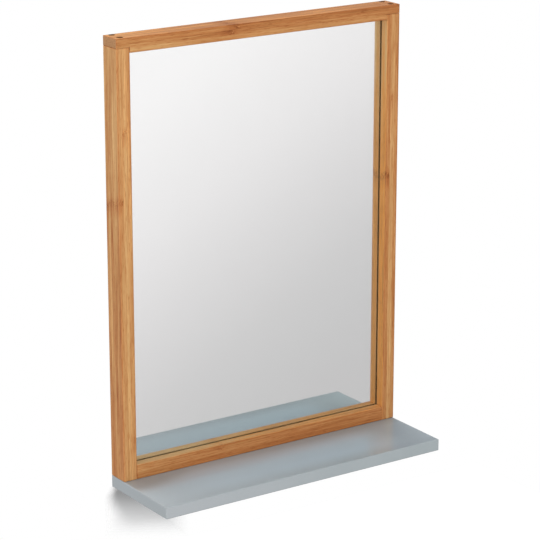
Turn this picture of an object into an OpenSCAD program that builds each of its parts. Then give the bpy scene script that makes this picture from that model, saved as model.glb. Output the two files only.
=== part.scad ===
// Wall mirror in a frame of four bars, standing on a shelf board.
// X runs along the width, the wall is the plane y = 0, the front faces -Y, and Z points up.
// The origin is midway between the two hanger keyholes, on the wall.

/* [Overall] */
// Width of the frame and of the shelf under it
overall_w = 400; // [300:10:600]
// Height from the underside of the shelf to the top of the frame
overall_h = 550; // [400:10:800]
// Height of the frame's top above the hanger keyholes
hanger_drop = 85; // [70:5:150]

/* [Bars] */
// Depth of all four bars, from the wall to the front
bar_d = 30; // [28:1:40]
// Face width of the stiles
stile_w = 18; // [17:0.5:30]
// Height of the top rail
top_rail_h = 18; // [17:0.5:30]
// Height of the top rail's ends, which lie over the stiles
top_lap_h = 11.5; // [10:0.5:15]
// Height of the bottom rail
bottom_rail_h = 18; // [16:0.5:30]
// Radius of the eased edges of the bars
bar_ease = 1.2; // [0.4:0.1:2]
// Gap between the top rail's shoulders and the stiles
shoulder_gap = 0.2; // [0.1:0.1:0.5]

/* [Pane and backing] */
// Thickness of the wood in front of the pane
front_lip = 12; // [10:0.5:14]
// Depth of the groove in the bars
groove_depth = 6; // [5:0.5:7]
// Thickness of the mirror pane
pane_t = 3; // [2:0.5:4]
// Thickness of the mounting tapes
tape_t = 0.8; // [0.5:0.1:1.5]
// Width of each mounting tape
tape_w = 20; // [10:1:40]
// Distance between neighbouring mounting tapes, middle to middle
tape_pitch = 110; // [50:5:120]
// Distance from a tape's ends to the pane's edges
tape_margin = 30; // [10:5:60]
// Thickness of the backing board
board_t = 3; // [2:0.5:4]
// Play behind the backing board in the groove
groove_play = 0.4; // [0.2:0.1:0.8]
// Gap between the pane's edges and the groove's floor, at the sides and the top
pane_gap = 1; // [0.5:0.25:2]
// Thickness of the setting pads under the pane
pad_t = 1; // [0.5:0.25:2]
// Length of each setting pad
pad_l = 25; // [15:5:50]
// Distance between the setting pads, middle to middle
pad_span = 200; // [100:10:220]

/* [Shelf] */
// Depth of the shelf board, from the wall to its front edge
shelf_d = 125; // [80:5:200]
// Thickness of the shelf board
shelf_t = 15; // [12:1:25]
// Radius of the eased edges of the shelf board
shelf_ease = 1.5; // [0.5:0.25:3]

/* [Frame and shelf screws] */
// Diameter of the screws
screw_d = 4; // [3:0.5:5]
// Diameter of their heads
head_d = 7.2; // [6:0.2:9]
// Height of their heads
head_h = 2.6; // [2:0.2:3.4]
// Clearance all round a screw in the piece that it passes through
screw_clearance = 0.2; // [0.1:0.1:0.5]
// Length of the screws through the top rail, under the head
top_screw_l = 40; // [25:5:50]
// Diameter of their counterbores
counterbore_d = 7.6; // [6.4:0.2:9.2]
// Depth of their counterbores
counterbore_depth = 6; // [4:0.5:7]
// Distance of the front top screws from the front of the frame
top_screw_front = 7; // [5:0.5:8]
// Distance of the back top screws from the wall
top_screw_back = 5.2; // [5:0.2:7]
// Length of the shelf screws in the stiles, with the head
stile_screw_l = 50; // [35:5:70]
// Distance of these screws from the outer side of the stile
stile_screw_side = 7; // [5:0.5:7.5]
// Length of the shelf screws in the bottom rail, with the head
rail_screw_l = 28; // [22:1:28]
// Distance between these screws
rail_screw_span = 160; // [80:10:200]
// Distance of these screws from the front of the frame
rail_screw_front = 6; // [5:0.5:8]

/* [Dowels] */
// Diameter of the dowels
dowel_d = 6; // [5:0.5:8]
// Length of the dowels
dowel_l = 24; // [16:2:26]
// Distance of the dowels' axes from the front of the frame and from the wall
dowel_inset = 6; // [5:0.5:6.5]
// Chamfer of the dowels' ends
dowel_chamfer = 0.8; // [0.4:0.2:1.2]

/* [Hangers] */
// Width of the hanger plates
plate_w = 14; // [13:0.5:15]
// Length of the hanger plates
plate_l = 44; // [42:1:54]
// Thickness of the hanger plates
plate_t = 1.5; // [1:0.25:2.5]
// Diameter of the hole that lets a wall screw's head in
keyhole_d = 10; // [8:0.5:10]
// Width of the slot that holds the wall screw
keyhole_slot_w = 4.6; // [4.2:0.2:5]
// Rise of the slot above the hole
keyhole_rise = 9; // [7:0.5:10]
// Gap all round the keyhole in the wood behind the plate
head_pocket_gap = 0.5; // [0.25:0.25:1]
// Depth of the pocket behind the plate
head_pocket_depth = 6; // [4:0.5:7]
// Diameter of the hanger screws
hanger_screw_d = 3; // [2.5:0.25:3.5]
// Diameter of their heads
hanger_head_d = 5.6; // [5:0.2:6.4]
// Length of the hanger screws
hanger_screw_l = 12; // [8:1:14]
// Distance between the two screws of a plate
hanger_screw_span = 33; // [32:0.5:42]

/* [Hidden] */
$fn = 48;

// A cut runs this far past the face that it opens
over = 1;
// Size of a cross recess as a share of its screw's head
recess_share = 0.55;

// Heights of the frame's and the shelf's faces
frame_top = hanger_drop;
shelf_bottom = frame_top - overall_h;
shelf_top = shelf_bottom + shelf_t;
stile_top = frame_top - top_lap_h;
opening_top = frame_top - top_rail_h;
opening_bottom = shelf_top + bottom_rail_h;

// Half widths of the frame and of its opening, and the middle of a stile
half_w = overall_w / 2;
opening_half_w = half_w - stile_w;
stile_mid = half_w - stile_w / 2;

// The groove, the pane, the tapes and the backing board, from front to back
pane_front = front_lip - bar_d;
pane_back = pane_front + pane_t;
tape_back = pane_back + tape_t;
board_back = tape_back + board_t;
groove_back = board_back + groove_play;

// Outline of the pane, which the backing board shares
pane_half_w = opening_half_w + groove_depth - pane_gap;
pane_bottom = opening_bottom - groove_depth + pad_t;
pane_top = opening_top + groove_depth - pane_gap;

// Colours
bamboo = [0.80, 0.60, 0.40];
paint = [0.64, 0.68, 0.70];
silvered_glass = [0.88, 0.90, 0.91];
hardboard = [0.45, 0.32, 0.22];
zinc = [0.75, 0.75, 0.72];
beech = [0.85, 0.70, 0.52];
foam = [0.93, 0.93, 0.90];
rubber = [0.15, 0.15, 0.15];

// Rectangle with round corners, centred
module round_rect(w, h, r) {
    square([w - 2 * r, h], center = true);
    square([w, h - 2 * r], center = true);
    for (side = [-1, 1], end = [-1, 1])
        translate([side * (w / 2 - r), end * (h / 2 - r)]) circle(r = r);
}

// Block between two corners, with all twelve edges eased
module eased_box(low, high, r) {
    size = high - low;
    translate((low + high) / 2)
        intersection() {
            linear_extrude(height = size.z, center = true) round_rect(size.x, size.y, r);
            rotate([90, 0, 0])
                linear_extrude(height = size.y, center = true) round_rect(size.x, size.z, r);
            rotate([90, 0, 90])
                linear_extrude(height = size.x, center = true) round_rect(size.y, size.z, r);
        }
}

// Plain block between two corners
module box(low, high) {
    translate(low) cube(high - low);
}

// Stadium standing along Z between two heights, from y_low to y_high
module upright_slot(w, z_low, z_high, y_low, y_high) {
    translate([0, y_high, 0])
        rotate([90, 0, 0])
            linear_extrude(height = y_high - y_low) {
                for (z = [z_low, z_high]) translate([0, z]) circle(d = w);
                translate([-w / 2, z_low]) square([w, z_high - z_low]);
            }
}

// Outside of a screw that hangs down from its seat at z = 0, with a pointed end
module screw_shank(d, l) {
    point = d;
    translate([0, 0, -l + point]) cylinder(d = d, h = l - point);
    translate([0, 0, -l]) cylinder(d1 = d / 4, d2 = d, h = point);
}

// Cross recess, cut down from z = 0
module cross_recess(d) {
    slot_w = d / 4;
    slot_depth = d / 3;
    for (turn = [0, 90])
        rotate(turn)
            translate([-d / 2, -slot_w / 2, -slot_depth]) cube([d, slot_w, slot_depth + over]);
}

// Screw with a flat-seated head above z = 0
module seated_screw(d, l, head_d, head_h) {
    crown = head_h / 3;
    difference() {
        union() {
            screw_shank(d, l);
            cylinder(d = head_d, h = head_h - crown);
            translate([0, 0, head_h - crown])
                cylinder(d1 = head_d, d2 = head_d - 2 * crown, h = crown);
        }
        translate([0, 0, head_h]) cross_recess(head_d * recess_share);
    }
}

// Countersunk screw with the top of its head at z = 0
module sunk_screw_body(d, l, head_d) {
    head_h = (head_d - d) / 2;
    screw_shank(d, l);
    translate([0, 0, -head_h]) cylinder(d1 = d, d2 = head_d, h = head_h);
}

module sunk_screw(d, l, head_d) {
    difference() {
        sunk_screw_body(d, l, head_d);
        cross_recess(head_d * recess_share);
    }
}

// Places of the screws and dowels of the right-hand side; the left-hand side is its mirror image
module at_top_screws() {
    for (y = [top_screw_front - bar_d, -top_screw_back])
        translate([stile_mid, y, frame_top - counterbore_depth]) children();
}

module at_stile_shelf_screw() {
    translate([half_w - stile_screw_side, -bar_d / 2, shelf_bottom]) mirror([0, 0, 1]) children();
}

module at_rail_shelf_screws() {
    for (x = [-1, 1] * rail_screw_span / 2)
        translate([x, rail_screw_front - bar_d, shelf_bottom]) mirror([0, 0, 1]) children();
}

module at_rail_dowels() {
    for (y = [dowel_inset - bar_d, -dowel_inset])
        translate([opening_half_w, y, shelf_top + bottom_rail_h / 2]) rotate([0, 90, 0]) children();
}

module at_hanger_screws() {
    for (z = [-1, 1] * hanger_screw_span / 2)
        translate([stile_mid, 0, z + keyhole_rise / 2]) rotate([-90, 0, 0]) children();
}

// Dowel along Z, centred, with chamfered ends
module dowel() {
    body_l = dowel_l - 2 * dowel_chamfer;
    end_d = dowel_d - 2 * dowel_chamfer;
    cylinder(d = dowel_d, h = body_l, center = true);
    for (end = [0, 1])
        mirror([0, 0, end])
            translate([0, 0, body_l / 2]) cylinder(d1 = dowel_d, d2 = end_d, h = dowel_chamfer);
}

// Outline of a hanger plate, y_low to y_high thick
module plate_blank(y_low, y_high) {
    reach = (plate_l - plate_w) / 2;
    translate([stile_mid, 0, 0])
        upright_slot(plate_w, keyhole_rise / 2 - reach, keyhole_rise / 2 + reach, y_low, y_high);
}

module right_stile() {
    color(bamboo)
        difference() {
            eased_box([opening_half_w, -bar_d, shelf_top], [half_w, 0, stile_top], bar_ease);
            box([opening_half_w - over, pane_front, shelf_top - over],
                [opening_half_w + groove_depth, groove_back, stile_top + over]);
            at_top_screws() screw_shank(screw_d, top_screw_l);
            at_stile_shelf_screw() screw_shank(screw_d, stile_screw_l);
            at_rail_dowels() cylinder(d = dowel_d, h = dowel_l, center = true);
            plate_blank(-plate_t, over);
            translate([stile_mid, 0, 0])
                upright_slot(keyhole_d + 2 * head_pocket_gap, 0, keyhole_rise,
                             -plate_t - head_pocket_depth, 0);
            at_hanger_screws() screw_shank(hanger_screw_d, hanger_screw_l);
        }
}

module left_stile() {
    mirror([1, 0, 0]) right_stile();
}

module top_rail() {
    drop_half_w = opening_half_w - shoulder_gap;
    color(bamboo)
        difference() {
            union() {
                eased_box([-half_w, -bar_d, stile_top], [half_w, 0, frame_top], bar_ease);
                eased_box([-drop_half_w, -bar_d, opening_top], [drop_half_w, 0, frame_top], bar_ease);
            }
            box([-half_w, pane_front, opening_top - over],
                [half_w, groove_back, opening_top + groove_depth]);
            for (side = [0, 1])
                mirror([side, 0, 0])
                    at_top_screws() {
                        cylinder(d = counterbore_d, h = counterbore_depth + over);
                        translate([0, 0, -top_lap_h])
                            cylinder(d = screw_d + 2 * screw_clearance, h = top_lap_h + over);
                    }
        }
}

module bottom_rail() {
    color(bamboo)
        difference() {
            eased_box([-opening_half_w, -bar_d, shelf_top], [opening_half_w, 0, opening_bottom], bar_ease);
            box([-half_w, pane_front, opening_bottom - groove_depth],
                [half_w, groove_back, opening_bottom + over]);
            for (side = [0, 1])
                mirror([side, 0, 0])
                    at_rail_dowels() cylinder(d = dowel_d, h = dowel_l, center = true);
            at_rail_shelf_screws() screw_shank(screw_d, rail_screw_l);
        }
}

module mirror_pane() {
    color(silvered_glass)
        box([-pane_half_w, pane_front, pane_bottom], [pane_half_w, pane_back, pane_top]);
}

module backing_board() {
    color(hardboard)
        box([-pane_half_w, tape_back, pane_bottom], [pane_half_w, board_back, pane_top]);
}

// Mounting tape between the pane and the board, at a distance x from the middle
module mounting_tape(x) {
    color(foam)
        box([x - tape_w / 2, pane_back, pane_bottom + tape_margin],
            [x + tape_w / 2, tape_back, pane_top - tape_margin]);
}

module left_mounting_tape() {
    mounting_tape(-tape_pitch);
}

module middle_mounting_tape() {
    mounting_tape(0);
}

module right_mounting_tape() {
    mounting_tape(tape_pitch);
}

// Setting pad under the pane and the board, at a distance x from the middle
module setting_pad(x) {
    color(rubber)
        box([x - pad_l / 2, pane_front, pane_bottom - pad_t],
            [x + pad_l / 2, board_back, pane_bottom]);
}

module left_setting_pad() {
    setting_pad(-pad_span / 2);
}

module right_setting_pad() {
    setting_pad(pad_span / 2);
}

// Space for a countersunk screw that passes through the shelf board
module shelf_screw_space(l) {
    translate([0, 0, -l]) cylinder(d = screw_d + 2 * screw_clearance, h = l);
    sunk_screw_body(screw_d, l, head_d);
}

module shelf_board() {
    color(paint)
        difference() {
            eased_box([-half_w, -shelf_d, shelf_bottom], [half_w, 0, shelf_top], shelf_ease);
            for (side = [0, 1])
                mirror([side, 0, 0]) at_stile_shelf_screw() shelf_screw_space(stile_screw_l);
            at_rail_shelf_screws() shelf_screw_space(rail_screw_l);
        }
}

module left_top_screws() {
    mirror([1, 0, 0]) right_top_screws();
}

module right_top_screws() {
    color(zinc) at_top_screws() seated_screw(screw_d, top_screw_l, head_d, head_h);
}

module left_rail_dowels() {
    mirror([1, 0, 0]) right_rail_dowels();
}

module right_rail_dowels() {
    color(beech) at_rail_dowels() dowel();
}

module left_shelf_screw() {
    mirror([1, 0, 0]) right_shelf_screw();
}

module right_shelf_screw() {
    color(zinc) at_stile_shelf_screw() sunk_screw(screw_d, stile_screw_l, head_d);
}

module rail_shelf_screws() {
    color(zinc) at_rail_shelf_screws() sunk_screw(screw_d, rail_screw_l, head_d);
}

module right_hanger_plate() {
    color(zinc)
        difference() {
            plate_blank(-plate_t, 0);
            translate([stile_mid, 0, 0])
                upright_slot(keyhole_slot_w, 0, keyhole_rise, -plate_t - over, over);
            translate([stile_mid, over, 0])
                rotate([90, 0, 0]) cylinder(d = keyhole_d, h = plate_t + 2 * over);
            at_hanger_screws() sunk_screw_body(hanger_screw_d, hanger_screw_l, hanger_head_d);
        }
}

module left_hanger_plate() {
    mirror([1, 0, 0]) right_hanger_plate();
}

module left_hanger_screws() {
    mirror([1, 0, 0]) right_hanger_screws();
}

module right_hanger_screws() {
    color(zinc) at_hanger_screws() sunk_screw(hanger_screw_d, hanger_screw_l, hanger_head_d);
}

top_rail();
left_stile();
right_stile();
bottom_rail();
mirror_pane();
backing_board();
left_mounting_tape();
middle_mounting_tape();
right_mounting_tape();
left_setting_pad();
right_setting_pad();
shelf_board();
left_top_screws();
right_top_screws();
left_rail_dowels();
right_rail_dowels();
left_shelf_screw();
right_shelf_screw();
rail_shelf_screws();
left_hanger_plate();
right_hanger_plate();
left_hanger_screws();
right_hanger_screws();
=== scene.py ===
# %% [markdown]
# # A wall mirror in a bamboo frame, standing on a painted shelf
# The mirror is 400 mm wide and 550 mm high. Four laminated bamboo bars hold a silvered pane in a
# groove, and the frame stands on a shelf board that reaches 95 mm past its front. The packed model
# gives every piece its true size and place, so this lesson adds what a maker would see and feel:
# grain, lacquer, paint, silver, screw threads and the light of a small studio.

# %% Load the packed model
import math

import bmesh
import bpy
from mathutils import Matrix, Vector


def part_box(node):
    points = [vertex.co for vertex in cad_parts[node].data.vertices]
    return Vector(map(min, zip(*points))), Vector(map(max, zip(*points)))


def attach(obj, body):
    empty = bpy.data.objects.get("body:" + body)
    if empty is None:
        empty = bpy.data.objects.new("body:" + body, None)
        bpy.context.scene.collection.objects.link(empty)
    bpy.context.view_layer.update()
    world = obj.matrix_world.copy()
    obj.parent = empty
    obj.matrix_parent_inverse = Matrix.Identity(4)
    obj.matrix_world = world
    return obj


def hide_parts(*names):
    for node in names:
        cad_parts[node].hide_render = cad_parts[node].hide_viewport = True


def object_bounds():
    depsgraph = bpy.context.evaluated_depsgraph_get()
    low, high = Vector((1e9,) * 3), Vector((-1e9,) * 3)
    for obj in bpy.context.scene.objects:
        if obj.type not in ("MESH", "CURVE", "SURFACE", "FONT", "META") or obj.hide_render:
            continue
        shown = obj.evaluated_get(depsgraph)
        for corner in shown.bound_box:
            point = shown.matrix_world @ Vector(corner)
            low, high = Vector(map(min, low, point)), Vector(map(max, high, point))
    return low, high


MM = 0.001
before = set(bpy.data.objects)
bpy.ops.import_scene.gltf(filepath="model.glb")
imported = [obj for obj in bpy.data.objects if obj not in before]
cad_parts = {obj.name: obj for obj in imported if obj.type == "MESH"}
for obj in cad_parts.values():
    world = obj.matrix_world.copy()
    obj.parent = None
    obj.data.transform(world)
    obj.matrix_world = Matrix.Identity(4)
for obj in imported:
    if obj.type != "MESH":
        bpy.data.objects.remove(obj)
cad_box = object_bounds()
print("packed pieces:", len(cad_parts))
print("lowest and highest corner in mm:", [[round(c / MM) for c in corner] for corner in cad_box])

# %% [markdown]
# ## The camera
# The picture shows the mirror from its left and a little from above, through a long lens, so that
# upright edges stay almost parallel. Turn, rise and distance round one point are easier to read
# than a location and three angles, and they place the lamp as well.

# %% Place the camera
AIM = Vector((0.0092, -0.030, -0.2210))


def add_object(name, data):
    """Links data as an object at the origin."""
    made = bpy.data.objects.new(name, data)
    bpy.context.scene.collection.objects.link(made)
    return made


def look_at_aim(thing, turn, rise, distance):
    """Sets a camera or a lamp turn degrees to the left and rise degrees above AIM, facing it."""
    turn, rise = math.radians(turn), math.radians(rise)
    level = math.cos(rise)
    sight = Vector((math.sin(turn) * level, math.cos(turn) * level, -math.sin(rise)))
    thing.location = AIM - sight * distance
    thing.rotation_euler = sight.to_track_quat("-Z", "Y").to_euler()
    print(thing.name, "at", [round(c, 3) for c in thing.location])


camera = add_object("camera", bpy.data.cameras.new("camera"))
camera.data.lens = 156.5
look_at_aim(camera, turn=34.05, rise=16.65, distance=2.8405)
bpy.context.scene.camera = camera
bpy.context.scene.view_settings.view_transform = "Standard"

# %% [markdown]
# ## Writing node trees as Python
# A finish is a formula: the colour of a fibre follows from where it is. Blender keeps formulas as
# nodes, and long ones are hard to read that way. So a wire, which is one output socket, gets the
# usual signs of arithmetic, and each sign adds a Math node, in shader and in geometry trees alike.

# %% A wire that can be calculated with
def sign(operation, swapped=False):
    """A sign of arithmetic for Wire that adds one Math node."""
    def method(self, other):
        pair = (other, self) if swapped else (self, other)
        return self.graph.math(operation, *pair)
    return method


class Wire:
    """One output socket of a tree."""

    def __init__(self, graph, socket):
        self.graph = graph
        self.socket = socket

    __add__ = sign("ADD")
    __radd__ = sign("ADD", swapped=True)
    __sub__ = sign("SUBTRACT")
    __rsub__ = sign("SUBTRACT", swapped=True)
    __mul__ = sign("MULTIPLY")
    __rmul__ = sign("MULTIPLY", swapped=True)
    __truediv__ = sign("DIVIDE")
    __mod__ = sign("FLOORED_MODULO")
    __gt__ = sign("GREATER_THAN")
    __lt__ = sign("LESS_THAN")


# %% A tree that is written as Python
# A Mix node keeps its two colours and its mixed colour at these numbers.
MIX_LOW, MIX_HIGH, MIXED = 6, 7, 2


class Graph:
    """A shader or geometry tree."""

    def __init__(self, tree):
        self.tree = tree

    def node(self, kind, inputs=None, settings=None, prepare=None):
        """Adds a node and returns its outputs, by name and by number."""
        made = self.tree.nodes.new(kind)
        for name, value in (settings or {}).items():
            setattr(made, name, value)
        if prepare:
            prepare(made)
        for key, value in (inputs or {}).items():
            self.fill(made.inputs[key], value)
        wires = {}
        for number, socket in enumerate(made.outputs):
            wires[number] = wires[socket.name] = Wire(self, socket)
        return wires

    def fill(self, socket, value):
        """Links one wire or a list of wires to a socket, or sets its own value."""
        if isinstance(value, Wire):
            self.tree.links.new(value.socket, socket)
        elif isinstance(value, list):
            for wire in value:
                self.tree.links.new(wire.socket, socket)
        elif socket.type == "RGBA":
            socket.default_value = (*value[:3], 1)
        else:
            socket.default_value = value

    def math(self, operation, *values):
        """A Math node on one to three numbers."""
        return self.node("ShaderNodeMath", dict(enumerate(values)), {"operation": operation})[0]

    def point(self, x, y, z):
        """Three numbers as one vector."""
        return self.node("ShaderNodeCombineXYZ", {0: x, 1: y, 2: z})[0]

    def rise(self, value, start, end):
        """0 up to start, 1 from end on, and a smooth rise between them."""
        inputs = {"Value": value, "From Min": start, "From Max": end}
        return self.node("ShaderNodeMapRange", inputs, {"interpolation_type": "SMOOTHSTEP"})[0]

    def most(self, first, *others):
        """The largest of several numbers."""
        for other in others:
            first = self.math("MAXIMUM", first, other)
        return first

    def near(self, value, full, none):
        """1 where value is within full of zero, 0 where it is further than none."""
        return 1 - self.rise(self.math("ABSOLUTE", value), full, none)

    def mix(self, share, low, high):
        """A colour from low, at share 0 or less, to high, at share 1 or more."""
        inputs = {0: share, MIX_LOW: low, MIX_HIGH: high}
        return self.node("ShaderNodeMix", inputs, {"data_type": "RGBA"})[MIXED]

    def noise(self, place, detail=2.0, roughness=0.5):
        """Smooth noise from 0 to 1, whose lumps are about one unit wide."""
        inputs = {"Vector": place, "Scale": 1.0, "Detail": detail, "Roughness": roughness}
        return self.node("ShaderNodeTexNoise", inputs)[0]

    def cells(self, place):
        """Distance to the nearest of scattered points, about one unit apart."""
        return self.node("ShaderNodeTexVoronoi", {"Vector": place, "Scale": 1.0})[0]

    def ramp(self, value, stops, blend="LINEAR"):
        """A colour from stops, each a place from 0 to 1 and a colour."""
        def set_stops(made):
            elements = made.color_ramp.elements
            made.color_ramp.interpolation = blend
            while len(elements) < len(stops):
                elements.new(1)
            for element, (place, colour) in zip(elements, stops):
                element.position = place
                element.color = (*colour, 1)
        return self.node("ShaderNodeValToRGB", {0: value}, prepare=set_stops)[0]

    def axes(self, vector):
        """The three numbers of a vector."""
        parts = self.node("ShaderNodeSeparateXYZ", {0: vector})
        return [parts[i] for i in range(3)]


print("what a wire can do:", [name for name, value in vars(Wire).items() if callable(value)])

# %% [markdown]
# ## A finish
# Every material starts with the place on the piece in millimetres and ends in one surface shader.
# The pieces all sit at the origin with their place in their mesh, so object coordinates are places
# in the part itself.

# %% The start and the end of every material
class Finish(Graph):
    """A material. x, y and z are the place in millimetres, and facing is the surface's direction."""

    def __init__(self, name):
        self.material = bpy.data.materials.new(name)
        self.material.use_nodes = True
        super().__init__(self.material.node_tree)
        self.tree.nodes.clear()
        here = self.node("ShaderNodeTexCoord")
        scaled = {0: here["Object"], "Scale": 1 / MM}
        in_mm = self.node("ShaderNodeVectorMath", scaled, {"operation": "SCALE"})[0]
        self.place = self.axes(in_mm)
        self.x, self.y, self.z = self.place
        self.facing = dict(zip("XYZ", self.axes(here["Normal"])))

    def grain(self, width, length=None, along="Z", shift=0.0):
        """The place in units of a lump's width, and of its length along one axis."""
        sizes = [length if length and axis == along else width for axis in "XYZ"]
        return self.point(*(place / size + shift for place, size in zip(self.place, sizes)))

    def looks_along(self, axis, start, end):
        """1 where the surface looks along an axis, either way, and 0 across it."""
        return self.rise(self.math("ABSOLUTE", self.facing[axis]), start, end)

    def arris(self, node, full, none):
        """1 on a packed piece's outer edges, 0 further in: two edge distances are small there."""
        low, high = (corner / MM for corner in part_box(node))
        gaps = [
            self.math("MINIMUM", place - low[i], high[i] - place)
            for i, place in enumerate(self.place)
        ]
        return 1 - self.rise(gaps[0] + gaps[1] + gaps[2] - self.most(*gaps), full, none)

    def bump(self, height, depth_mm):
        """A surface direction from a height of 0 to 1 that stands for depth_mm."""
        return self.node("ShaderNodeBump", {"Distance": depth_mm * MM, "Height": height})[0]

    def surface(self, colour, roughness, sockets=None):
        """Ends the tree in a Principled shader and returns the material."""
        sockets = {"Base Color": colour, "Roughness": roughness, **(sockets or {})}
        shader = self.node("ShaderNodeBsdfPrincipled", sockets)[0]
        self.node("ShaderNodeOutputMaterial", {"Surface": shader})
        print("finish:", self.material.name, "-", len(self.tree.nodes), "nodes")
        return self.material


# %% [markdown]
# ## Laminated bamboo
# A bamboo bar is glued up from strips that were split off a cane. Each strip has its own tone, long
# fibres, dark vessels that show as dots on the end grain, and a knuckle where the cane had a joint:
# a wavy dark line with pale and dark strokes beside it. The pattern is solid, worked out from the
# place inside the bar, so it runs round corners: a strip that shows its narrow edge on one face
# shows its broad side on the next.

# %% The tones of bamboo, from pale to dark
YELLOW_TONES = [
    (0.0, (0.80, 0.505, 0.230)),
    (0.3, (0.58, 0.325, 0.130)),
    (0.6, (0.47, 0.217, 0.071)),
    (1.0, (0.24, 0.086, 0.024)),
]
RED_TONES = [
    (0.0, (0.84, 0.365, 0.098)),
    (0.3, (0.55, 0.248, 0.089)),
    (0.6, (0.43, 0.155, 0.046)),
    (1.0, (0.22, 0.062, 0.016)),
]
END_GRAIN = (0.465, 0.245, 0.110)
END_VESSEL = (0.27, 0.115, 0.045)
GLUE_LINE = 0.16
BAR_DEPTH = 30

# %% What darkens, warms and raises bamboo, and by how much
# The entry for the ends is painted light, and the entry for the arrises is a painted highlight.
DARKENS = {
    "skin": 0.06, "cloud": 0.45, "streak": 0.75, "fibre": 0.45, "dash": 0.2, "gold": -0.13,
    "vessel": 0.08, "glue": 0.08, "end_light": -1, "band": 0.9, "edge": 0.03,
}
WARMS = {"skin": 0.08, "warm_streak": 1.7, "dash": 0.3, "end_light": -3, "band": 1.6, "edge": 0.4}
RAISES = {"fibre": 0.5, "streak": 0.3, "vessel": -0.25, "glue": -0.3, "dash": -0.2}
KNUCKLE_DARKENS = {"strokes": 0.42, "line": 0.22, "haze": 0.11, "spots": -0.36}
KNUCKLE_WARMS = {"strokes": 0.5, "haze": 0.5}


def weighed(parts, weights):
    """The sum of all parts that have a weight."""
    total = 0.0
    for name, weight in weights.items():
        total = parts[name] * weight + total
    return total


# %% A knuckle
ALL_ALONG = 1000
KNUCKLE_WAVE = 14
KNUCKLE_JITTER = 4
KNUCKLE_LEAN = 0.3


def knuckle(f, lumps, distance):
    """Darkness and warmth near a knuckle. Distance is in mm along the cane."""
    wave = (lumps(12, ALL_ALONG, detail=1) - 0.5) * KNUCKLE_WAVE
    jitter = (lumps(3, ALL_ALONG, detail=1) - 0.5) * KNUCKLE_JITTER
    off = distance + wave + jitter + (f.y + BAR_DEPTH) * KNUCKLE_LEAN
    broken = f.rise(lumps(2.2, ALL_ALONG, 5, detail=1), 0.42, 0.55)
    parts = {
        "strokes": f.rise(lumps(0.8, 4.5, 3), 0.48, 0.60) * f.near(off, 1.5, 6.5),
        "spots": f.rise(lumps(1.0, 1.8, 8, detail=1), 0.55, 0.66) * f.near(off - 1.5, 1.0, 5.0),
        "line": broken * f.near(off, 0.2, 0.9),
        "haze": f.near(off + 4, 2, 17),
    }
    return weighed(parts, KNUCKLE_DARKENS), weighed(parts, KNUCKLE_WARMS)


# %% Painted shade in the holes
HOLE_X = 191.0
HOLE_YS = (-23.0, -5.2)
HOLE_RADIUS = 3.75
HOLE_SHADE_REACH = 0.35
HOLE_SHADE_SHARE = 0.95
HOLE_SHADE = (0.120, 0.048, 0.018)


def painted_hole_shade(f):
    """Painted shade: the walls of the four holes in the top rail are darkened."""
    across = f.math("ABSOLUTE", f.x) - HOLE_X
    along = f.math("MINIMUM", *(f.math("ABSOLUTE", f.y - y) for y in HOLE_YS))
    from_axis = f.math("SQRT", across * across + along * along)
    return (1 - f.rise(from_axis, HOLE_RADIUS, HOLE_RADIUS + HOLE_SHADE_REACH)) * HOLE_SHADE_SHARE


# %% The groove for the pane
GROOVE_MIDDLE = -14.6
GROOVE_REACH = Vector((188.0, 3.7, 255.5))
GROOVE_EDGE = 0.2
# Raw bamboo, set pale enough to be partly painted light in the groove.
GROOVE_LIGHT = (0.93, 0.54, 0.27)


def painted_groove_light(f):
    """1 in the groove, which was cut after lacquering and shows raw bamboo, set paler as painted
    light for the light that reaches it through the glass.
    """
    low, high = (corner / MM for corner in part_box("mirror_pane"))
    middle = (low + high) / 2
    middle.y = GROOVE_MIDDLE
    shares = [
        f.near(place - middle[i], GROOVE_REACH[i] - GROOVE_EDGE, GROOVE_REACH[i])
        for i, place in enumerate(f.place)
    ]
    return shares[0] * shares[1] * shares[2]


# %% Bamboo for one bar
LAYER_SHIFT = 17.3
# A ramp gives 0 to 1, so a knuckle's place goes through it as a share of this range, in mm.
PLACE_RANGE = 1000


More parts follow.
